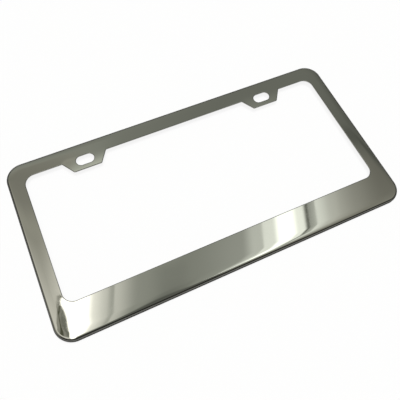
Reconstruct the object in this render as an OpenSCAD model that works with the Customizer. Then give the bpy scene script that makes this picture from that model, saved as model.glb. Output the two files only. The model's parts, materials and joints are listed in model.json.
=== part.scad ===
// Licence plate frame, pressed and trimmed from one sheet of polished steel.
// It lies face up on the lower edge of its rim. X runs along the plate, Y towards the rail with
// the screw slots and Z out of the face. The origin is the middle of the frame, on the plane
// that the rim stands on.

/* [Outline] */
// Overall width, along the plate
frame_w = 315; // [300:0.5:340]
// Overall height, across the plate
frame_h = 162; // [155:0.5:190]
// Radius of the frame's outer corners in plan
corner_r = 15; // [11:0.5:22]

/* [Sheet and rim] */
// Thickness of the sheet
sheet_t = 1; // [0.6:0.1:1.5]
// Overall depth, from the face to the lower edge of the rim
rim_depth = 5; // [4.5:0.1:10]
// Outside radius of the bend between the face and the rim wall
bend_r = 2.9; // [2.1:0.1:4]
// Width of the soft shoulder, where the face starts to fall towards the bend
shoulder_w = 4.6; // [3:0.1:6]
// How far the face falls across the shoulder
shoulder_drop = 0.1; // [0.05:0.01:0.2]

/* [Window] */
// Width of the rails at the two sides of the window
side_rail_w = 14.2; // [12:0.1:20]
// Width of the rail above the window
top_rail_w = 15.4; // [12:0.1:20]
// Width of the rail below the window
bottom_rail_w = 28.2; // [12:0.1:34]
// Radius of the window's corners
window_r = 9; // [3:0.5:15]

/* [Tabs] */
// Width of a tab where it leaves the upper rail
tab_root_w = 40.4; // [34:0.1:50]
// Width of a tab across its tip
tab_tip_w = 25; // [20:0.1:32]
// How far a tab reaches into the window
tab_reach = 11.4; // [9:0.1:15]
// Radius of the corners at a tab's tip
tab_tip_r = 1.5; // [0.5:0.1:4]
// Radius of the fillets where a tab meets the rail
tab_root_r = 1.2; // [0.5:0.1:4]

/* [Screw slots] */
// Distance between the centres of the two slots
slot_pitch = 177.8; // [160:0.1:190]
// Length of a slot from end to end
slot_len = 16.4; // [10:0.1:20]
// Width of a slot
slot_w = 9.3; // [5:0.1:10]
// Distance from the frame's upper edge to the slots' centre line
slot_from_top = 17.9; // [17:0.1:19]

/* [Hidden] */
$fn = 96;
shoulder_fn = 720;

// The shoulder is an arc that leaves the flat face and enters the bend without a crease
shoulder_r = (pow(shoulder_w, 2) + pow(shoulder_drop, 2)) / (2 * shoulder_drop);
shoulder_angle = asin(shoulder_w / shoulder_r);

// Distances inward from the rim's outer wall
bend_width = bend_r * (1 - sin(shoulder_angle));
rim_width = bend_width + shoulder_w;

// Height of the bend's axis, which is also the height of the straight rim wall
bend_axis_z = rim_depth - shoulder_drop - bend_r * cos(shoulder_angle);

window_w = frame_w - 2 * side_rail_w;
window_h = frame_h - top_rail_w - bottom_rail_w;
window_top_y = frame_h / 2 - top_rail_w;
window_mid_y = (bottom_rail_w - top_rail_w) / 2;

// Lean of a tab's flanks from the Y axis
tab_lean = atan2((tab_root_w - tab_tip_w) / 2, tab_reach);
// Distance from a corner of the tab to where its arc starts, for a radius of 1
tab_corner_run = 1 / tan((90 + tab_lean) / 2);

steel = [0.72, 0.72, 0.7];

// Rectangle centred on the origin, with round corners
module rounded_rectangle(w, h, r) {
    square([w - 2 * r, h], center = true);
    square([w, h - 2 * r], center = true);
    for (x = [-1, 1], y = [-1, 1])
        translate([x * (w / 2 - r), y * (h / 2 - r)]) circle(r = r);
}

// One slot along X, with round ends
module slot_outline() {
    end_x = (slot_len - slot_w) / 2;
    square([2 * end_x, slot_w], center = true);
    for (x = [-end_x, end_x])
        translate([x, 0]) circle(r = slot_w / 2);
}

// A tab below the X axis, with a strip above it that lies in the rail
module tab_outline() {
    flank = [sin(tab_lean), cos(tab_lean)];
    tip = [tab_tip_w / 2, -tab_reach];
    root = [tab_root_w / 2, 0];
    tip_run = tab_tip_r * tab_corner_run;
    root_run = tab_root_r * tab_corner_run;
    tip_centre = tip + [-tip_run, tab_tip_r];
    root_centre = root + [root_run, -tab_root_r];
    half = [
        [root_centre.x, tab_root_r],
        root_centre,
        root - root_run * flank,
        tip + tip_run * flank,
        tip - [tip_run, 0]
    ];
    other_half = [for (i = [len(half) - 1 : -1 : 0]) [-half[i].x, half[i].y]];
    difference() {
        union() {
            polygon(concat(half, other_half));
            for (side = [-1, 1])
                translate([side * tip_centre.x, tip_centre.y]) circle(r = tab_tip_r);
        }
        for (side = [-1, 1])
            translate([side * root_centre.x, root_centre.y]) circle(r = tab_root_r);
    }
}

// The flat part of the face, inside the shoulder, with its window, tabs and slots
module face_outline() {
    difference() {
        union() {
            difference() {
                rounded_rectangle(frame_w - 2 * rim_width, frame_h - 2 * rim_width, corner_r - rim_width);
                translate([0, window_mid_y]) rounded_rectangle(window_w, window_h, window_r);
            }
            for (side = [-1, 1])
                translate([side * slot_pitch / 2, window_top_y]) tab_outline();
        }
        for (side = [-1, 1])
            translate([side * slot_pitch / 2, frame_h / 2 - slot_from_top]) slot_outline();
    }
}

// Band of sheet that follows an arc: the radius is that of its outer side
module bent_sheet(radius, from_angle, to_angle) {
    mid_angle = (from_angle + to_angle) / 2;
    intersection() {
        difference() {
            circle(r = radius);
            circle(r = radius - sheet_t);
        }
        polygon(concat([[0, 0]], [for (a = [from_angle, mid_angle, to_angle]) 2 * radius * [cos(a), sin(a)]]));
    }
}

// Cross-section of the rim. X runs inward from the outer wall, Y up from the standing edge
module rim_section() {
    square([sheet_t, bend_axis_z]);
    translate([bend_r, bend_axis_z]) bent_sheet(bend_r, 90 + shoulder_angle, 180);
    translate([rim_width, rim_depth - shoulder_r])
        bent_sheet(shoulder_r, 90, 90 + shoulder_angle, $fn = shoulder_fn);
}

// Straight run of rim along X, with its outer wall on the XZ plane and its inside towards +Y
module rim_side(length) {
    rotate([90, 0, 90]) linear_extrude(height = length, center = true) rim_section();
}

// Quarter turn of rim round the Z axis, from +X to +Y
module rim_corner() {
    rotate_extrude(angle = 90) translate([corner_r, 0]) mirror([1, 0]) rim_section();
}

module rim() {
    for (turn = [0, 180]) {
        rotate([0, 0, turn]) translate([0, -frame_h / 2, 0]) rim_side(frame_w - 2 * corner_r);
        rotate([0, 0, turn + 90]) translate([0, -frame_w / 2, 0]) rim_side(frame_h - 2 * corner_r);
    }
    corner_x = frame_w / 2 - corner_r;
    corner_y = frame_h / 2 - corner_r;
    corners = [[corner_x, corner_y], [-corner_x, corner_y], [-corner_x, -corner_y], [corner_x, -corner_y]];
    for (i = [0 : len(corners) - 1])
        translate(corners[i]) rotate([0, 0, 90 * i]) rim_corner();
}

module plate_frame() {
    color(steel) {
        translate([0, 0, rim_depth - sheet_t]) linear_extrude(height = sheet_t) face_outline();
        rim();
    }
}

plate_frame();
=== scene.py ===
"""Looks of a licence plate frame: one polished sheet of steel with a turned-down rim.

The frame lies face up on a pale floor. Its piece is built here with the same named sizes as the
part's source, but with a much finer mesh, because a mirror finish shows every flat of a coarse one.
Sizes are in millimetres and Blender's are in metres.
"""
import json
import math

import bpy
from mathutils import Matrix, Vector
from mathutils.geometry import delaunay_2d_cdt


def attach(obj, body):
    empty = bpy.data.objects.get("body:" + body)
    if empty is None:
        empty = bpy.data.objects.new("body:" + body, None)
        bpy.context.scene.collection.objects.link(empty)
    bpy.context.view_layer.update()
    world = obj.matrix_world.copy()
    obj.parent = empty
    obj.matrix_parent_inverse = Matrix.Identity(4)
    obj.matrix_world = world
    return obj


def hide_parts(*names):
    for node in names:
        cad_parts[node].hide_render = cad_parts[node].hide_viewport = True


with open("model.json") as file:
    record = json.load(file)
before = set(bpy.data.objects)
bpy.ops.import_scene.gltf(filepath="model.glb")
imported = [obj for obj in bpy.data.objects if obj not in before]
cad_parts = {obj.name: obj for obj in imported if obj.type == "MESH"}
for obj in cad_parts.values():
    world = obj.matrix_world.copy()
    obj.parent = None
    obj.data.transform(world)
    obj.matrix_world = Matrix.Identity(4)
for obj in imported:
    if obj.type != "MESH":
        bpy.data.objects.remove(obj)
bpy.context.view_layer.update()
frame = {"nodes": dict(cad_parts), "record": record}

MM = 0.001
PIECE_NAME = "polished_plate_frame"
TRIMMED_MARK = "trimmed"
UP = (0, 0, 1)
QUARTER_TURN = math.pi / 2


def in_mm(metres):
    """Millimetres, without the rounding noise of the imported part."""
    return round(metres / MM, 3)


# Overall sizes and the screw slots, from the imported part
solid = frame["nodes"]["plate_frame"]
slots = next(mount for mount in frame["record"]["mounts"] if mount["name"] == "screw_slots")
FRAME_W, FRAME_H, RIM_DEPTH = (in_mm(size) for size in solid.dimensions)
SLOT_PITCH = slots["dims"]["spacing_x_mm"]
SLOT_LEN = slots["dims"]["slot_length_mm"]
SLOT_W = 2 * slots["dims"]["hole_r_mm"]
SLOT_Y = in_mm(slots["pos_m"][1])

# Outline, sheet and rim
CORNER_R = 15
SHEET_T = 1
BEND_R = 2.9
SHOULDER_W = 4.6
SHOULDER_DROP = 0.1
RIM_EDGE_R = 0.15

# Window
SIDE_RAIL_W = 14.2
TOP_RAIL_W = 15.4
BOTTOM_RAIL_W = 28.2
WINDOW_R = 9
WINDOW_TOP = FRAME_H / 2 - TOP_RAIL_W

# Tabs
TAB_ROOT_W = 40.4
TAB_TIP_W = 25
TAB_REACH = 11.4
TAB_TIP_R = 1.5
TAB_ROOT_R = 1.2

# Trimmed edges. The face rolls over a little there, and the back has a small radius. The margin is
# the flat strip round a hole that is swept with its edge.
CUT_ROLL_W = 0.5
CUT_ROLL_H = 0.15
CUT_BACK_R = 0.15
CUT_MARGIN = 0.8

# Dip of the tabs. It starts a little way up the rail, has its full slope at a tab's tip and fades
# out beside the tab. A little past the tip it ends, where no sheet is left.
DIP_START = 4.6
DIP_LENGTH = DIP_START + TAB_REACH
DIP_SLOPE = math.radians(2.5)
DIP_HALF_WIDTH = 16
DIP_FADE = 6
DIP_PAST_TIP = 1

# Fineness of the mesh. Points nearer than SAME_PLACE are one, and ONLY_INSIDE asks the
# triangulation for the triangles inside its loops.
LONGEST_STEP = 12
ARC_STEP = math.radians(2.5)
SHOULDER_STEPS = 14
BEND_STEPS = 28
EDGE_STEPS = 5
TAB_STEP = 1.5
SAME_PLACE = 1e-6
ONLY_INSIDE = 1

# Camera. Its place and aim are in the row frame, and its roll lifts its right side. The range in
# which it sees is in metres.
CAMERA_AT = (-95.65, -149.51, 347.57)
CAMERA_AIM = (-12.19, -13.40, 5.0)
CAMERA_ROLL = math.radians(7.459)
CAMERA_RANGE = (0.01, 100)
FOCAL_PX = 439.8
PICTURE_PX = 400
SENSOR_MM = 36

# Steel. The dull finish comes in where the surface tilts away from straight up. It is rougher, and its
# dark colour is partly painted shade that stands in for the shaded floor the walls and edges reflect.
# It comes in sooner on the trimmed edges, whose steep side is half polished again.
POLISHED_COLOUR = (0.66, 0.655, 0.61, 1)
POLISHED_EDGE_TINT = (1, 1, 1, 1)
DULL_AND_SHADE_COLOUR = (0.13, 0.13, 0.12, 1)
DULL_AND_SHADE_EDGE_TINT = (0.15, 0.15, 0.14, 1)
DULL_ROUGHNESS = 0.16
DULL_AND_SHADE_RAMP = (0.955, 0.87)
TRIMMED_TILT = -0.09
BARE_RAMP = (0.45, 0.15, 0.0, 0.5)
SMUDGE_SCALE = 45
SMUDGE_DETAIL = 3.0
SMUDGE_RAMP = (0.35, 0.7, 0.02, 0.035)
LINE_SCALE = 900
LINE_DETAIL = 2.0
LINE_STRETCH = (0.02, 1, 1)
LINE_RAMP = (0.3, 0.8, 0.0, 0.01)

# Floor and lamp. The floor's half width is in metres.
FLOOR_HALF = 6.0
FLOOR_COLOUR = (0.85, 0.85, 0.85, 1)
FLOOR_GLOW_COLOUR = (1, 1, 1, 1)
FLOOR_GLOW = 1.0
FLOOR_GLOW_SHARE = 0.88
KEY_STRENGTH = 2.4
KEY_SOFTNESS = math.radians(30)
KEY_TILT = (math.radians(-12), math.radians(8), 0)

# Studio. Its ceiling is seen as on a flat plan: across and run are places across and along its
# strip lights, in tangents of the angle from straight up, and run grows towards the camera.
# Levels of light are set so that 1 is white.
# A RAMP is (start, end, level at start, level at end), and goes from 0 to 1 where it has no
# levels. A BAND is (rise, fall, level), where rise and fall are the (start, end) of its two soft
# sides and the level is 1 if it has none.
ACROSS_STRIPS = (0.92, -0.39, 0)
ALONG_STRIPS = (-0.39, -0.92, 0)
LOWEST_HEIGHT = 0.08
GREY_TINT = (0.955, 1.0, 0.88)
LEFT_TINT = (1.02, 1.0, 0.94)
RIGHT_TINT = (0.965, 1.0, 0.94)
WARM_SHIFT = (0.05, 0.0, -0.02)
WHITE = (1.0, 1.0, 1.0)

# Unlit ceiling. NEAR is its part towards the camera and SHADE a dim streak there, FAR_LEFT and
# FAR_RIGHT are its parts beyond the two lamps, and WARM is where its greys are warmer.
CEILING_RAMP = (-0.30, 0.20, 0.27, 0.20)
CEILING_RIGHT_RAMP = (0.45, 0.57, 0.0, -0.03)
NEAR_RAMP = (-0.60, -0.30)
NEAR_LIFT = 0.09
NEAR_STREAK_BAND = ((-0.06, -0.01), (0.01, 0.05), -0.03)
SHADE_BAND = ((-0.04, 0.0), (0.05, 0.08), -0.05)
SHADE_RUN_RAMP = (-0.27, -0.19)
FAR_LEFT_RAMP = (-0.12, -0.22)
FAR_LEFT_BANDS = (
    ((-0.72, -0.64), (-0.60, -0.56), 0.04),
    ((-0.57, -0.52), (-0.46, -0.415), -0.037),
    ((-0.43, -0.39), (-0.385, -0.35), 0.03),
)
FAR_RIGHT_RAMP = (0.38, 0.48)
FAR_RIGHT_BAND = ((-0.70, -0.66), (-0.65, -0.61), -0.035)
FAR_RIGHT_RUN_RAMP = (-0.63, -0.56, -0.025, 0.015)
WARM_RIGHT_RAMP = (0.36, 0.42)
WARM_LEFT_RAMP = (-0.20, -0.26)
WARM_RUN_RAMP = (-0.66, -0.54)

# Glows that only the dipped tabs pick up, each a band across the strips and one along them: on the
# left tab, at that tab's edge, and on the right tab
TAB_GLOWS = (
    (((-0.26, -0.16), (-0.08, 0.05), 0.49), ((-0.62, -0.37), (-0.36, -0.28))),
    (((-0.285, -0.26), (-0.22, -0.18), 0.09), ((-0.585, -0.555), (-0.46, -0.40))),
    (((0.14, 0.22), (0.30, 0.38), 0.08), ((-0.80, -0.62), (-0.60, -0.50))),
)

# Left lamp. Its left edge has a small bump and leans at the far end, as far as a limit, where it
# steps back. To the right of the edge the light goes down in ramps, from the white strip to the
# last of its spill. The ramps and the dark joint bend to the right towards the camera. The FAR and
# NEAR ramps are the lamp's two ends.
LEFT_EDGE = -0.226
LEFT_EDGE_LEAN = 0.42
LEFT_EDGE_LEAN_FROM = -0.151
LEFT_EDGE_LIMIT = -0.250
LEFT_STEP_RAMP = (-0.220, -0.228, 0.0, 0.02)
LEFT_BUMP_BAND = ((-0.215, -0.188), (-0.182, -0.150), 0.004)
LEFT_SIDE_RAMP = (-0.002, 0.002)
LEFT_BEND = 0.25
LEFT_BEND_FROM = -0.18
LEFT_LIGHT_RAMPS = (
    (-0.175, -0.198, 0.0, 1.1),
    (-0.142, -0.190, 0.0, 0.5),
    (-0.076, -0.134, 0.0, 0.35),
    (-0.015, -0.090, 0.0, 0.05),
)
LEFT_JOINT_BAND = ((-0.150, -0.1355), (-0.134, -0.1295), -0.245)
LEFT_FAR_RAMP = (-0.46, -0.30)
LEFT_NEAR_RAMP = (1.2, 0.5)

# Wall on the left of that lamp
WALL_RUN_RAMP = (-0.40, -0.06, 0.0, 0.47)
WALL_SIDE_RAMP = (0.0, -0.01)
WALL_CORNER_LEAN = -0.3
WALL_CORNER_RAMP = (-0.215, -0.155, 0.0, 0.36)
WALL_CORNER_BAND = ((-0.45, -0.32), (-0.22, -0.18))

# Dark leaf-shaped gap beside the left lamp. It widens from its tip towards the camera, along a
# leaning spine with a dark and a light line.
LEAF_TIP = -0.195
LEAF_SPINE = -0.2505
LEAF_SPINE_LEAN = -0.3
LEAF_TIP_W = 0.008
LEAF_WIDENING = 0.8
LEAF_W = 0.050
LEAF_LEFT_RAMP = (-0.002, 0.003)
LEAF_RIGHT_RAMP = (0.001, -0.003)
LEAF_FAR_RAMP = (-0.230, -0.224)
LEAF_NEAR_RAMP = (0.01, -0.08)
LEAF_SPREAD = 60
LEAF_LEVEL_RAMP = (-0.006, 0.009, 0.35, 0.21)
LEAF_DARK_LINE_BAND = ((-0.0035, -0.001), (0.001, 0.0035), -0.20)
LEAF_LIGHT_LINE_BAND = ((0.0015, 0.003), (0.004, 0.006), 0.08)
LEAF_TIP_RAMP = (-0.216, -0.223, 0.0, -0.10)

# Right lamp. Its bands bend to the left towards the camera. In order they are the spill, three
# steps, the white strip, a dark joint, the grey strip, its lighter part, a bright line and the
# glow beyond it. The FAR and NEAR ramps are the lamp's two ends, and NEAR_GLOW lies over the near one.
RIGHT_BEND_SLANT = 0.38
RIGHT_BEND_FROM = -0.183
RIGHT_BEND_RAMP = (0.115, 0.150, 0.0, 1.3)
RIGHT_BANDS = (
    ((0.02, 0.18), (0.324, 0.3355), 0.13),
    ((0.166, 0.198), (0.324, 0.3355), 0.28),
    ((0.217, 0.2225), (0.324, 0.3355), 0.37),
    ((0.246, 0.263), (0.327, 0.333), 0.20),
    ((0.246, 0.263), (0.296, 0.312), 0.60),
    ((0.331, 0.335), (0.3385, 0.342), -0.11),
    ((0.3375, 0.342), (0.358, 0.470), 0.18),
    ((0.3415, 0.360), (0.360, 0.470), 0.15),
    ((0.3575, 0.3615), (0.350, 0.430), 0.43),
    ((0.39, 0.42), (0.425, 0.55), 0.155),
)
RIGHT_FAR_RAMP = (-0.65, -0.51)
RIGHT_NEAR_RAMP = (0.30, 0.0)
NEAR_GLOW_BAND = ((0.15, 0.28), (0.30, 0.60))
NEAR_GLOW_RUN_RAMP = (0.40, -0.15, 0.0, 0.30)
NEAR_GLOW_START_RAMP = (-0.24, -0.16)

# Dark shape on the camera's side. It has a round end away from the camera, and leans to the right
# towards the camera.
SHAPE_LEAN = -0.50
SHAPE_LEAN_FROM = -0.10
SHAPE_MIDDLE = 0.035
SHAPE_HALF_W = 0.15
SHAPE_END_FROM = 0.05
SHAPE_END_LEN = 0.235
SHAPE_RAMP = (0.80, 1.0, 0.08, 1.0)

# End of the lit ceiling. The band lets it reach further towards the camera on the left.
REACH_SLANT = -0.35
REACH_LEFT_BAND = ((-0.60, -0.40), (-0.10, 0.03), 0.5)
REACH_RAMP = (0.70, -0.10)
OVERHEAD_RAMP = (0.45, 0.65)

# Room round the ceiling and the pale backdrop low down, by how far a direction points away from
# the camera, to the right and up
ROOM_AWAY_RAMP = (-0.1, 0.3, 0.12, 0.07)
ROOM_RIGHT_RAMP = (0.5, 0.75, 0.0, -0.05)
ROOM_LEFT_RAMP = (-0.25, -0.5)
ROOM_LEFT_BAND = ((-0.3, 0.0), (0.2, 0.45), 0.35)
BACKDROP_RAMP = (0.20, 0.165)


# Outlines

def left_of(direction):
    return Vector((-direction.y, direction.x))


def turned(vector, angle):
    c = math.cos(angle)
    s = math.sin(angle)
    return Vector((c * vector.x - s * vector.y, s * vector.x + c * vector.y))


def rounded_corner(before, at, after, radius):
    """The arc that rounds one corner, as (point, left-hand normal) pairs."""
    way_in = (at - before).normalized()
    way_out = (after - at).normalized()
    turn = math.atan2(way_in.x * way_out.y - way_in.y * way_out.x, way_in.dot(way_out))
    side = math.copysign(1, turn)
    run = radius * math.tan(abs(turn) / 2)
    normal = left_of(way_in)
    centre = at - way_in * run + normal * radius * side
    steps = max(2, math.ceil(abs(turn) / ARC_STEP))
    arc = []
    for i in range(steps + 1):
        n = turned(normal, turn * i / steps)
        arc.append((centre - n * radius * side, n))
    return arc


def rounded_outline(corners):
    """Closed anticlockwise outline from (x, y, radius) corners, as (point, inward normal) pairs."""
    points = [Vector((x, y)) for x, y, _ in corners]
    arcs = []
    for i, (_, _, radius) in enumerate(corners):
        arcs.append(rounded_corner(points[i - 1], points[i], points[(i + 1) % len(points)], radius))
    outline = []
    for i, arc in enumerate(arcs):
        start = arcs[i - 1][-1]
        gap = (arc[0][0] - start[0]).length
        steps = max(1, math.ceil(gap / LONGEST_STEP))
        for k in range(1, steps):
            outline.append((start[0].lerp(arc[0][0], k / steps), start[1]))
        outline.extend(arc if gap > SAME_PLACE else arc[1:])
    return outline


def rectangle_corners(width, height, radius):
    x = width / 2
    y = height / 2
    return [(x, -y, radius), (x, y, radius), (-x, y, radius), (-x, -y, radius)]


def frame_outline():
    return rounded_outline(rectangle_corners(FRAME_W, FRAME_H, CORNER_R))


def window_outline():
    """The window, with the two tabs that reach down into it from the upper rail."""
    right = FRAME_W / 2 - SIDE_RAIL_W
    low = -FRAME_H / 2 + BOTTOM_RAIL_W
    tip_y = WINDOW_TOP - TAB_REACH
    corners = [(right, low, WINDOW_R), (right, WINDOW_TOP, WINDOW_R)]
    for middle in (SLOT_PITCH / 2, -SLOT_PITCH / 2):
        corners.append((middle + TAB_ROOT_W / 2, WINDOW_TOP, TAB_ROOT_R))
        corners.append((middle + TAB_TIP_W / 2, tip_y, TAB_TIP_R))
        corners.append((middle - TAB_TIP_W / 2, tip_y, TAB_TIP_R))
        corners.append((middle - TAB_ROOT_W / 2, WINDOW_TOP, TAB_ROOT_R))
    corners += [(-right, WINDOW_TOP, WINDOW_R), (-right, low, WINDOW_R)]
    return rounded_outline(corners)


def slot_outline(side):
    shift = Vector((side * SLOT_PITCH / 2, SLOT_Y))
    outline = rounded_outline(rectangle_corners(SLOT_LEN, SLOT_W, SLOT_W / 2))
    return [(point + shift, normal) for point, normal in outline]


# Cross-sections, as (distance into the sheet, height, the normal's two parts) rows

def arc_rows(centre_in, centre_z, radius, start, end, steps, facing=1):
    """Rows on an arc. The angles are the tilt of the outward normal from +Z towards the outside."""
    rows = []
    for i in range(steps + 1):
        tilt = start + (end - start) * i / steps
        n_in = -math.sin(tilt)
        n_z = math.cos(tilt)
        rows.append((centre_in + radius * n_in, centre_z + radius * n_z, facing * n_in, facing * n_z))
    return rows


def rim_rows():
    """From the flat face over the shoulder and the bend, round the standing edge and back inside."""
    shoulder_r = (SHOULDER_W ** 2 + SHOULDER_DROP ** 2) / (2 * SHOULDER_DROP)
    shoulder_z = RIM_DEPTH - shoulder_r
    tilt = math.asin(SHOULDER_W / shoulder_r)
    bend_z = RIM_DEPTH - SHOULDER_DROP - BEND_R * math.cos(tilt)
    rim_width = BEND_R * (1 - math.sin(tilt)) + SHOULDER_W
    side, down, inside = QUARTER_TURN, 2 * QUARTER_TURN, 3 * QUARTER_TURN
    e = RIM_EDGE_R
    rows = arc_rows(rim_width, shoulder_z, shoulder_r, 0, tilt, SHOULDER_STEPS)
    rows += arc_rows(BEND_R, bend_z, BEND_R, tilt, side, BEND_STEPS)[1:]
    rows += arc_rows(e, e, e, side, down, EDGE_STEPS)
    rows += arc_rows(SHEET_T - e, e, e, down, inside, EDGE_STEPS)
    rows += arc_rows(BEND_R, bend_z, BEND_R - SHEET_T, side, tilt, BEND_STEPS // 2, -1)
    rows += arc_rows(rim_width, shoulder_z, shoulder_r - SHEET_T, tilt, 0, SHOULDER_STEPS // 2, -1)[1:]
    return rows


def cut_edge_rows():
    """From the flat face over a trimmed edge to the back of the sheet."""
    back = RIM_DEPTH - SHEET_T
    steps = 2 * EDGE_STEPS
    rows = [(CUT_MARGIN, RIM_DEPTH, 0, 1)]
    for i in range(steps + 1):
        s = math.sin(QUARTER_TURN * i / steps)
        c = math.cos(QUARTER_TURN * i / steps)
        normal = Vector((-s / CUT_ROLL_W, c / CUT_ROLL_H)).normalized()
        rows.append((CUT_ROLL_W * (1 - s), RIM_DEPTH - CUT_ROLL_H * (1 - c), normal.x, normal.y))
    low = CUT_BACK_R
    rows += arc_rows(low, back + low, low, QUARTER_TURN, 2 * QUARTER_TURN, EDGE_STEPS)
    rows.append((CUT_MARGIN, back, 0, -1))
    return rows


# The piece

def sweep(mesh, outline, rows, inward):
    """Sweeps a cross-section round a closed outline. Returns the first and the last ring of vertices.

    inward is 1 where the sheet lies inside the outline, and -1 where the outline is a hole's."""
    points, normals, faces = mesh
    count = len(outline)
    rings = []
    for distance, z, n_in, n_z in rows:
        rings.append(range(len(points), len(points) + count))
        for point, normal in outline:
            side = normal * inward
            at = point + side * distance
            points.append(Vector((at.x, at.y, z)) * MM)
            normals.append(Vector((side.x * n_in, side.y * n_in, n_z)))
    for ring, following in zip(rings, rings[1:]):
        for i in range(count):
            j = (i + 1) % count
            quad = (ring[i], following[i], following[j], ring[j])
            faces.append(quad if inward > 0 else quad[::-1])
    return rings[0], rings[-1]


def tab_dip(x, y):
    """Height of the sheet against its flat part, below 0 in the dip, and its slopes along X and Y."""
    reach = WINDOW_TOP + DIP_START - y
    if not 0 < reach < DIP_LENGTH + DIP_PAST_TIP:
        return 0, 0, 0
    curve = math.tan(DIP_SLOPE) / DIP_LENGTH
    from_middle = abs(x) - SLOT_PITCH / 2
    faded = min(max((abs(from_middle) - DIP_HALF_WIDTH) / DIP_FADE, 0), 1)
    share = 1 - faded * faded * (3 - 2 * faded)
    share_slope = -6 * faded * (1 - faded) / DIP_FADE * math.copysign(1, from_middle * x)
    depth = curve * reach * reach / 2
    return -depth * share, -depth * share_slope, curve * reach * share


def dip_tabs(mesh):
    """Lowers the tabs' tips, and turns the normals with them."""
    points, normals, _ = mesh
    for i, (at, normal) in enumerate(zip(points, normals)):
        height, slope_x, slope_y = tab_dip(at.x / MM, at.y / MM)
        leaning = Vector((normal.x - slope_x * normal.z, normal.y - slope_y * normal.z, normal.z))
        points[i] = at + Vector((0, 0, height)) * MM
        normals[i] = leaning.normalized()


def tab_grid():
    """Places on the tabs and just above them, where the sheet is curved."""
    half = DIP_HALF_WIDTH + DIP_FADE + TAB_STEP
    top = WINDOW_TOP + DIP_START + TAB_STEP / 2
    columns = round(2 * half / TAB_STEP)
    rows = round((top - WINDOW_TOP + TAB_REACH) / TAB_STEP)
    places = []
    for side in (-1, 1):
        left = side * SLOT_PITCH / 2 - half
        for i in range(columns + 1):
            for j in range(rows):
                places.append(Vector((left + i * TAB_STEP, top - j * TAB_STEP)))
    return places


def fill(mesh, rings, z, facing):
    """Fills the sheet's face or back inside the first ring and outside the others, its holes."""
    points, normals, faces = mesh
    used = [i for ring in rings for i in ring]
    plan = [points[i].xy / MM for i in used]
    loops = []
    for ring in rings:
        start = sum(len(loop) for loop in loops)
        loops.append(list(range(start, start + len(ring))))
    plan += tab_grid()
    used += [None] * (len(plan) - len(used))
    result = delaunay_2d_cdt(plan, [], loops, ONLY_INSIDE, SAME_PLACE)
    _, _, triangles, origins, _, loops_round = result
    for triangle, around in zip(triangles, loops_round):
        if around != [0]:
            continue
        corners = [min(origins[i]) for i in triangle]
        for i in corners:
            if used[i] is None:
                used[i] = len(points)
                points.append(Vector((plan[i].x, plan[i].y, z)) * MM)
                normals.append(Vector((0, 0, facing)))
        a, b, c = (used[i] for i in corners)
        faces.append((a, b, c) if facing > 0 else (a, c, b))


def mark_trimmed(data, rims):
    """Notes on the mesh which vertices are on a trimmed edge, for the finish."""
    marks = [0.0] * len(data.vertices)
    for face, back in rims:
        for i in range(face.stop, back.start):
            marks[i] = 1.0
    data.attributes.new(TRIMMED_MARK, "FLOAT", "POINT").data.foreach_set("value", marks)


def add_object(name, data):
    thing = bpy.data.objects.new(name, data)
    bpy.context.scene.collection.objects.link(thing)
    return thing


def build_plate_frame():
    mesh = ([], [], [])
    rims = [sweep(mesh, frame_outline(), rim_rows(), 1)]
    for outline in (window_outline(), slot_outline(-1), slot_outline(1)):
        rims.append(sweep(mesh, outline, cut_edge_rows(), -1))
    fill(mesh, [face for face, _ in rims], RIM_DEPTH, 1)
    fill(mesh, [back for _, back in rims], RIM_DEPTH - SHEET_T, -1)
    dip_tabs(mesh)
    points, normals, faces = mesh
    data = bpy.data.meshes.new(PIECE_NAME)
    data.from_pydata(points, [], faces)
    data.validate()
    data.shade_smooth()
    data.normals_split_custom_set_from_vertices(normals)
    mark_trimmed(data, rims[1:])
    return add_object(PIECE_NAME, data)


# Nodes

def plug(tree, socket, value):
    """Links a socket to another one, or gives it a constant."""
    if isinstance(value, bpy.types.NodeSocket):
        tree.links.new(value, socket)
    else:
        socket.default_value = value


def calc(tree, operation, *values):
    node = tree.nodes.new("ShaderNodeMath")
    node.operation = operation
    for socket, value in zip(node.inputs, values):
        plug(tree, socket, value)
    return node.outputs[0]


def vector_calc(tree, operation, first, second, output="Vector"):
    node = tree.nodes.new("ShaderNodeVectorMath")
    node.operation = operation
    plug(tree, node.inputs[0], first)
    plug(tree, node.inputs[1], second)
    return node.outputs[output]


def along(tree, direction, axis):
    return vector_calc(tree, "DOT_PRODUCT", direction, axis, "Value")


def chain(tree, operation, values):
    """Joins values with one operation, in their order."""
    result = values[0]
    for value in values[1:]:
        result = calc(tree, operation, result, value)
    return result


def total(tree, *parts):
    return chain(tree, "ADD", parts)


def product(tree, *factors):
    return chain(tree, "MULTIPLY", factors)


def above(tree, value, threshold):
    """How far a value is over a threshold, and 0 below it."""
    return calc(tree, "MAXIMUM", calc(tree, "SUBTRACT", value, threshold), 0.0)


def below(tree, value, threshold):
    """How far a value is under a threshold, as a number below 0, and 0 above it."""
    return calc(tree, "MINIMUM", calc(tree, "SUBTRACT", value, threshold), 0.0)


def ramp(tree, value, start, end, low=0.0, high=1.0):
    """Goes softly from low at start to high at end."""
    node = tree.nodes.new("ShaderNodeMapRange")
    node.interpolation_type = "SMOOTHSTEP"
    settings = {"Value": value, "From Min": start, "From Max": end, "To Min": low, "To Max": high}
    for name, setting in settings.items():
        plug(tree, node.inputs[name], setting)
    return node.outputs["Result"]


def band(tree, value, rise, fall, level=1.0):
    """A bar of light with two soft sides."""
    up = ramp(tree, value, rise[0], rise[1])
    down = ramp(tree, value, fall[1], fall[0], 0.0, level)
    return product(tree, up, down)


def blend_levels(tree, share, first, second):
    """second where share is 1, and first where it is 0."""
    return calc(tree, "MULTIPLY_ADD", share, calc(tree, "SUBTRACT", second, first), first)


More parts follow.
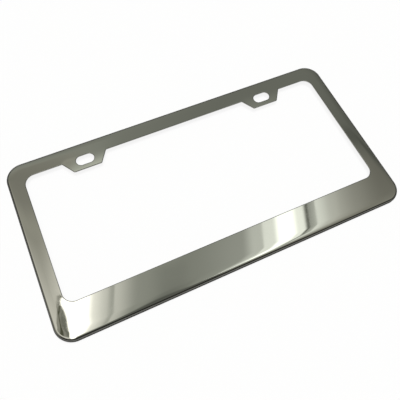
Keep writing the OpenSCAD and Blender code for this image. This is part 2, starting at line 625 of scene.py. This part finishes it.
def blend_colours(tree, share, first, second):
    node = tree.nodes.new("ShaderNodeMix")
    node.data_type = "RGBA"
    plug(tree, node.inputs["Factor"], share)
    node.inputs["A"].default_value = first
    node.inputs["B"].default_value = second
    return node.outputs["Result"]


def noise(tree, position, scale, detail, stretch=(1, 1, 1)):
    mapping = tree.nodes.new("ShaderNodeMapping")
    plug(tree, mapping.inputs["Vector"], position)
    mapping.inputs["Scale"].default_value = stretch
    node = tree.nodes.new("ShaderNodeTexNoise")
    tree.links.new(mapping.outputs["Vector"], node.inputs["Vector"])
    node.inputs["Scale"].default_value = scale
    node.inputs["Detail"].default_value = detail
    return node.outputs["Fac"]


# Camera

def camera_axes():
    """The camera's right, up and forward directions."""
    forward = (Vector(CAMERA_AIM) - Vector(CAMERA_AT)).normalized()
    level = forward.cross(Vector(UP)).normalized()
    right = level * math.cos(CAMERA_ROLL) + level.cross(forward) * math.sin(CAMERA_ROLL)
    return right, right.cross(forward), forward


def make_camera():
    right, up, forward = camera_axes()
    data = bpy.data.cameras.new("camera")
    data.sensor_fit = "HORIZONTAL"
    data.sensor_width = SENSOR_MM
    data.lens = FOCAL_PX * SENSOR_MM / PICTURE_PX
    data.clip_start, data.clip_end = CAMERA_RANGE
    camera = add_object("camera", data)
    turn = Matrix((right, up, -forward)).transposed().to_4x4()
    camera.matrix_world = Matrix.Translation(Vector(CAMERA_AT) * MM) @ turn
    bpy.context.scene.camera = camera


# Studio

def ceiling_plan(tree, direction):
    """Where each direction meets the ceiling: across the strip lights and along them."""
    height = calc(tree, "MAXIMUM", along(tree, direction, UP), LOWEST_HEIGHT)
    across = calc(tree, "DIVIDE", along(tree, direction, ACROSS_STRIPS), height)
    run = calc(tree, "DIVIDE", along(tree, direction, ALONG_STRIPS), height)
    return across, run


def tab_glows(tree, across, run):
    """Soft patches of light for the dipped tabs."""
    glows = []
    for across_band, run_band in TAB_GLOWS:
        glows.append(product(tree, band(tree, across, *across_band), band(tree, run, *run_band)))
    return total(tree, *glows)


def unlit_ceiling(tree, across, run):
    """Grey level of the ceiling without its lamps, lighter on the left and towards the camera."""
    near = ramp(tree, run, *NEAR_RAMP)
    streak = band(tree, across, *NEAR_STREAK_BAND)
    shade = product(tree, band(tree, across, *SHADE_BAND), ramp(tree, run, *SHADE_RUN_RAMP))
    left = total(tree, *[band(tree, run, *row) for row in FAR_LEFT_BANDS])
    right = total(tree, band(tree, run, *FAR_RIGHT_BAND), ramp(tree, run, *FAR_RIGHT_RUN_RAMP))
    return total(
        tree,
        ramp(tree, across, *CEILING_RAMP),
        product(tree, near, NEAR_LIFT),
        product(tree, near, streak),
        ramp(tree, across, *CEILING_RIGHT_RAMP),
        product(tree, ramp(tree, across, *FAR_RIGHT_RAMP), right),
        product(tree, ramp(tree, across, *FAR_LEFT_RAMP), left),
        shade,
        tab_glows(tree, across, run),
    )


def from_left_edge(tree, across, run):
    """How far a place lies to the right of the left lamp's left edge."""
    leaning = below(tree, run, LEFT_EDGE_LEAN_FROM)
    edge = calc(tree, "MULTIPLY_ADD", leaning, LEFT_EDGE_LEAN, LEFT_EDGE)
    edge = calc(tree, "MAXIMUM", edge, LEFT_EDGE_LIMIT)
    edge = total(tree, edge, ramp(tree, run, *LEFT_STEP_RAMP), band(tree, run, *LEFT_BUMP_BAND))
    return calc(tree, "SUBTRACT", across, edge)


def left_wall(tree, across, run, from_edge):
    """Glow of the wall beside the left lamp, brighter towards the camera and in one corner."""
    slanted = calc(tree, "MULTIPLY_ADD", run, WALL_CORNER_LEAN, across)
    corner = product(tree, ramp(tree, slanted, *WALL_CORNER_RAMP), band(tree, run, *WALL_CORNER_BAND))
    wall = total(tree, corner, ramp(tree, run, *WALL_RUN_RAMP))
    return product(tree, wall, ramp(tree, from_edge, *WALL_SIDE_RAMP))


def left_lamp(tree, across, run, from_edge):
    """White strip on the left with a soft spill on its right, a dark joint, and the wall."""
    started = ramp(tree, from_edge, *LEFT_SIDE_RAMP)
    bend = product(tree, above(tree, run, LEFT_BEND_FROM), LEFT_BEND)
    bent = calc(tree, "SUBTRACT", across, bend)
    lights = [product(tree, started, ramp(tree, bent, *row)) for row in LEFT_LIGHT_RAMPS]
    joint = band(tree, bent, *LEFT_JOINT_BAND)
    return total(tree, *lights, joint, left_wall(tree, across, run, from_edge))


def leaf_gap(tree, across, run, from_edge):
    """The leaf-shaped gap beside the left lamp: how much of it there is, and its level."""
    lead = above(tree, run, LEAF_TIP)
    spine = calc(tree, "MULTIPLY_ADD", lead, LEAF_SPINE_LEAN, LEAF_SPINE)
    from_spine = calc(tree, "SUBTRACT", across, spine)
    width = calc(tree, "MULTIPLY_ADD", lead, LEAF_WIDENING, LEAF_TIP_W)
    width = calc(tree, "MINIMUM", width, LEAF_W)
    from_side = total(tree, from_spine, width)
    left_side = ramp(tree, from_side, *LEAF_LEFT_RAMP)
    right_side = ramp(tree, from_edge, *LEAF_RIGHT_RAMP)
    ends = product(tree, ramp(tree, run, *LEAF_FAR_RAMP), ramp(tree, run, *LEAF_NEAR_RAMP))
    place = calc(tree, "DIVIDE", from_spine, calc(tree, "MULTIPLY_ADD", lead, LEAF_SPREAD, 1))
    level = total(
        tree,
        ramp(tree, place, *LEAF_LEVEL_RAMP),
        band(tree, place, *LEAF_DARK_LINE_BAND),
        band(tree, place, *LEAF_LIGHT_LINE_BAND),
        ramp(tree, run, *LEAF_TIP_RAMP),
    )
    return product(tree, left_side, right_side, ends), level


def left_lights(tree, across, run, grey):
    """The left lamp and the leaf-shaped gap beside it, on top of the grey ceiling."""
    from_edge = from_left_edge(tree, across, run)
    reach = product(tree, ramp(tree, run, *LEFT_FAR_RAMP), ramp(tree, run, *LEFT_NEAR_RAMP))
    lamp = product(tree, left_lamp(tree, across, run, from_edge), reach)
    share, level = leaf_gap(tree, across, run, from_edge)
    return blend_levels(tree, share, lamp, calc(tree, "SUBTRACT", level, grey))


def right_lights(tree, across, run):
    """Stepped white strip on the right, then a dark joint and a grey strip, and the near glow."""
    slant = calc(tree, "MULTIPLY_ADD", across, RIGHT_BEND_SLANT, run)
    bend = product(tree, above(tree, slant, RIGHT_BEND_FROM), ramp(tree, across, *RIGHT_BEND_RAMP))
    bent = total(tree, across, bend)
    lamp = total(tree, *[band(tree, bent, *row) for row in RIGHT_BANDS])
    reach = product(tree, ramp(tree, run, *RIGHT_FAR_RAMP), ramp(tree, run, *RIGHT_NEAR_RAMP))
    glow = product(tree, band(tree, across, *NEAR_GLOW_BAND), ramp(tree, run, *NEAR_GLOW_RUN_RAMP))
    glow = product(tree, glow, ramp(tree, run, *NEAR_GLOW_START_RAMP))
    return total(tree, product(tree, lamp, reach), glow)


def outside_dark_shape(tree, across, run):
    """Near 0 in the dark shape that stands on the camera's side, and 1 away from it."""
    lean = above(tree, run, SHAPE_LEAN_FROM)
    slanted = calc(tree, "MULTIPLY_ADD", lean, SHAPE_LEAN, across)
    wide = calc(tree, "DIVIDE", calc(tree, "SUBTRACT", slanted, SHAPE_MIDDLE), SHAPE_HALF_W)
    long = calc(tree, "DIVIDE", below(tree, run, SHAPE_END_FROM), SHAPE_END_LEN)
    squares = total(tree, product(tree, wide, wide), product(tree, long, long))
    return ramp(tree, calc(tree, "SQRT", squares), *SHAPE_RAMP)


def overhead_share(tree, across, run, up):
    """1 where the lit ceiling shows, and near 0 in the dark shape and out in the room."""
    slanted = calc(tree, "MULTIPLY_ADD", across, REACH_SLANT, run)
    place = calc(tree, "SUBTRACT", slanted, band(tree, across, *REACH_LEFT_BAND))
    shape = outside_dark_shape(tree, across, run)
    return product(tree, shape, ramp(tree, place, *REACH_RAMP), ramp(tree, up, *OVERHEAD_RAMP))


def room_level(tree, direction):
    """The dim room round the ceiling, with a soft light on the left."""
    sideways = along(tree, direction, (1, 0, 0))
    away = along(tree, direction, (0, 1, 0))
    left = product(tree, ramp(tree, sideways, *ROOM_LEFT_RAMP), band(tree, away, *ROOM_LEFT_BAND))
    right = ramp(tree, sideways, *ROOM_RIGHT_RAMP)
    return total(tree, ramp(tree, away, *ROOM_AWAY_RAMP), right, left)


def warm_share(tree, across, run):
    """How much the greys are warmer, beyond the two lamps on either side."""
    sides = total(tree, ramp(tree, across, *WARM_RIGHT_RAMP), ramp(tree, across, *WARM_LEFT_RAMP))
    return product(tree, sides, ramp(tree, run, *WARM_RUN_RAMP))


def studio_light(tree, direction):
    """The colour of the light that comes from each direction."""
    across, run = ceiling_plan(tree, direction)
    up = along(tree, direction, UP)
    overhead = overhead_share(tree, across, run, up)
    grey = unlit_ceiling(tree, across, run)
    greys = blend_levels(tree, overhead, room_level(tree, direction), grey)
    tinted_levels = (
        (product(tree, left_lights(tree, across, run, grey), overhead), LEFT_TINT),
        (product(tree, right_lights(tree, across, run), overhead), RIGHT_TINT),
        (greys, GREY_TINT),
        (product(tree, warm_share(tree, across, run), greys), WARM_SHIFT),
        (ramp(tree, up, *BACKDROP_RAMP), WHITE),
    )
    parts = [vector_calc(tree, "MULTIPLY", level, tint) for level, tint in tinted_levels]
    light = parts[0]
    for part in parts[1:]:
        light = vector_calc(tree, "ADD", light, part)
    return light


def make_world():
    world = bpy.data.worlds.new("studio")
    bpy.context.scene.world = world
    world.use_nodes = True
    tree = world.node_tree
    tree.nodes.clear()
    direction = tree.nodes.new("ShaderNodeTexCoord").outputs["Generated"]
    background = tree.nodes.new("ShaderNodeBackground")
    tree.links.new(studio_light(tree, direction), background.inputs["Color"])
    output = tree.nodes.new("ShaderNodeOutputWorld")
    tree.links.new(background.outputs["Background"], output.inputs["Surface"])


def floor_material():
    """Pale floor that glows for the camera and in reflections. The rest of it keeps the shadow."""
    material = bpy.data.materials.new("studio_floor")
    material.use_nodes = True
    tree = material.node_tree
    tree.nodes.clear()
    path = tree.nodes.new("ShaderNodeLightPath")
    seen = calc(tree, "MAXIMUM", path.outputs["Is Camera Ray"], path.outputs["Is Glossy Ray"])
    seen = calc(tree, "MAXIMUM", seen, path.outputs["Is Transmission Ray"])
    diffuse = tree.nodes.new("ShaderNodeBsdfDiffuse")
    diffuse.inputs["Color"].default_value = FLOOR_COLOUR
    glow = tree.nodes.new("ShaderNodeEmission")
    glow.inputs["Color"].default_value = FLOOR_GLOW_COLOUR
    glow.inputs["Strength"].default_value = FLOOR_GLOW
    mix = tree.nodes.new("ShaderNodeMixShader")
    tree.links.new(product(tree, seen, FLOOR_GLOW_SHARE), mix.inputs["Fac"])
    tree.links.new(diffuse.outputs["BSDF"], mix.inputs[1])
    tree.links.new(glow.outputs["Emission"], mix.inputs[2])
    output = tree.nodes.new("ShaderNodeOutputMaterial")
    tree.links.new(mix.outputs["Shader"], output.inputs["Surface"])
    return material


def make_floor():
    s = FLOOR_HALF
    data = bpy.data.meshes.new("floor")
    data.from_pydata([(-s, -s, 0), (s, -s, 0), (s, s, 0), (-s, s, 0)], [], [(0, 1, 2, 3)])
    data.materials.append(floor_material())
    floor = add_object("floor", data)


def make_key_lamp():
    """A broad soft lamp, far off, that the mirror finish doesn't show."""
    data = bpy.data.lights.new("key", "SUN")
    data.energy = KEY_STRENGTH
    data.angle = KEY_SOFTNESS
    lamp = add_object("key", data)
    lamp.rotation_euler = KEY_TILT
    lamp.visible_glossy = False


# Materials

def dull_and_shade_share(tree):
    """0 on the polished face, and up to 1 on the walls, the trimmed edges and the back, which are
    duller and darkened with painted shade.
    """
    normal = tree.nodes.new("ShaderNodeNewGeometry").outputs["Normal"]
    facing_up = along(tree, normal, UP)
    mark = tree.nodes.new("ShaderNodeAttribute")
    mark.attribute_name = TRIMMED_MARK
    trimmed = mark.outputs["Fac"]
    facing = calc(tree, "MULTIPLY_ADD", trimmed, TRIMMED_TILT, facing_up)
    bare = product(tree, trimmed, ramp(tree, facing_up, *BARE_RAMP))
    return product(tree, ramp(tree, facing, *DULL_AND_SHADE_RAMP), calc(tree, "SUBTRACT", 1.0, bare))


def polish_roughness(tree):
    """Faint smudges and fine lines along the plate."""
    position = tree.nodes.new("ShaderNodeTexCoord").outputs["Object"]
    smudges = noise(tree, position, SMUDGE_SCALE, SMUDGE_DETAIL)
    lines = noise(tree, position, LINE_SCALE, LINE_DETAIL, LINE_STRETCH)
    return total(tree, ramp(tree, smudges, *SMUDGE_RAMP), ramp(tree, lines, *LINE_RAMP))


def polished_steel():
    """Mirror finish on the face, and a duller one on the walls and trimmed edges, with painted shade
    in its darker colour.
    """
    material = bpy.data.materials.new("polished_steel")
    material.use_nodes = True
    tree = material.node_tree
    shader = tree.nodes["Principled BSDF"]
    shader.inputs["Metallic"].default_value = 1.0
    dull_and_shade = dull_and_shade_share(tree)
    # The dull colour and edge tint darken the walls and trimmed edges with painted shade, besides
    # their rougher finish
    colour = blend_colours(tree, dull_and_shade, POLISHED_COLOUR, DULL_AND_SHADE_COLOUR)
    edge_tint = blend_colours(tree, dull_and_shade, POLISHED_EDGE_TINT, DULL_AND_SHADE_EDGE_TINT)
    roughness = blend_levels(tree, dull_and_shade, polish_roughness(tree), DULL_ROUGHNESS)
    tree.links.new(colour, shader.inputs["Base Color"])
    tree.links.new(edge_tint, shader.inputs["Specular Tint"])
    tree.links.new(roughness, shader.inputs["Roughness"])
    return material


bpy.context.scene.view_settings.view_transform = "Standard"
make_camera()
make_world()
make_floor()
make_key_lamp()
piece = build_plate_frame()
piece.data.materials.append(polished_steel())
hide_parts("plate_frame")
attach(piece, "root")
